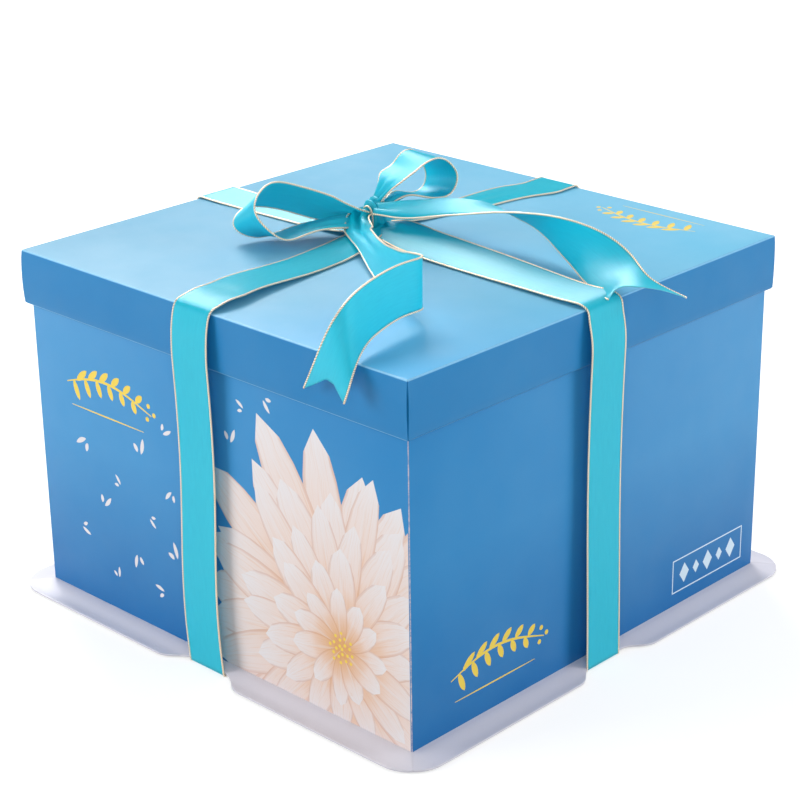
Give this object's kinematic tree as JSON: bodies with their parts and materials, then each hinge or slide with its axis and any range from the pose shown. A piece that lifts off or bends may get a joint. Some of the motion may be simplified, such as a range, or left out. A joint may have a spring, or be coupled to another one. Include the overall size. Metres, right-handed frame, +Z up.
{
  "type": "cake box",
  "caption": "Square telescoping card cake box: deep lid, wall sleeve, notched tray with a cake board, tied with a satin ribbon and bow.",
  "frame": {"origin": "on the table, under the middle of the tray", "axes": "+Z up, -Y towards the wall with the large print, which the picture shows at its left"},
  "size_m": [0.2954, 0.2954, 0.2278],
  "materials": {
    "white_card": "coated white card, satin",
    "white_board": "uncoated white board, matte",
    "printed_card": "printed card with a satin film",
    "lid_card": "printed card with a satin film, lighter on top",
    "satin_ribbon": "satin weave with gold rope edges"
  },
  "bodies": {
    "tray": {"tray_deck": "white_card", "tray_side_front": "white_card", "tray_side_right": "white_card", "tray_side_back": "white_card", "tray_side_left": "white_card", "tray_brim_front": "white_card", "tray_brim_right": "white_card", "tray_brim_back": "white_card", "tray_brim_left": "white_card", "ribbon_under_across": "satin_ribbon", "ribbon_under_along": "satin_ribbon"},
    "board": {"cake_board": "white_board"},
    "walls": {"wall_front": "printed_card", "wall_right": "printed_card", "wall_back": "printed_card", "wall_left": "printed_card", "wall_glue_flap": "printed_card"},
    "lid": {"lid_top": "lid_card", "lid_skirt_front": "lid_card", "lid_skirt_right": "lid_card", "lid_skirt_back": "lid_card", "lid_skirt_left": "lid_card", "lid_hem_front": "lid_card", "lid_hem_right": "lid_card", "lid_hem_back": "lid_card", "lid_hem_left": "lid_card", "lid_tab_front_right": "lid_card", "lid_tab_back_right": "lid_card", "lid_tab_front_left": "lid_card", "lid_tab_back_left": "lid_card"},
    "ribbon": {"ribbon_run_front": "satin_ribbon", "ribbon_run_right": "satin_ribbon", "ribbon_run_back": "satin_ribbon", "ribbon_run_left": "satin_ribbon", "ribbon_drop_front": "satin_ribbon", "ribbon_drop_right": "satin_ribbon", "ribbon_drop_back": "satin_ribbon", "ribbon_drop_left": "satin_ribbon", "ribbon_knot": "satin_ribbon", "ribbon_loop_left": "satin_ribbon", "ribbon_loop_back": "satin_ribbon", "ribbon_tail_front": "satin_ribbon", "ribbon_tail_right": "satin_ribbon"}
  },
  "joints": [
    {"name": "board_lift", "type": "slide", "parent": "tray", "child": "board", "axis": [0, 0, 1], "range_m": [0, 0.15]},
    {"name": "walls_lift", "type": "slide", "parent": "tray", "child": "walls", "axis": [0, 0, 1], "range_m": [0, 0.21]},
    {"name": "lid_lift", "type": "slide", "parent": "walls", "child": "lid", "axis": [0, 0, 1], "range_m": [0, 0.12]},
    {"name": "ribbon_lift", "type": "slide", "parent": "lid", "child": "ribbon", "axis": [0, 0, 1], "range_m": [0, 0.22]}
  ]
}
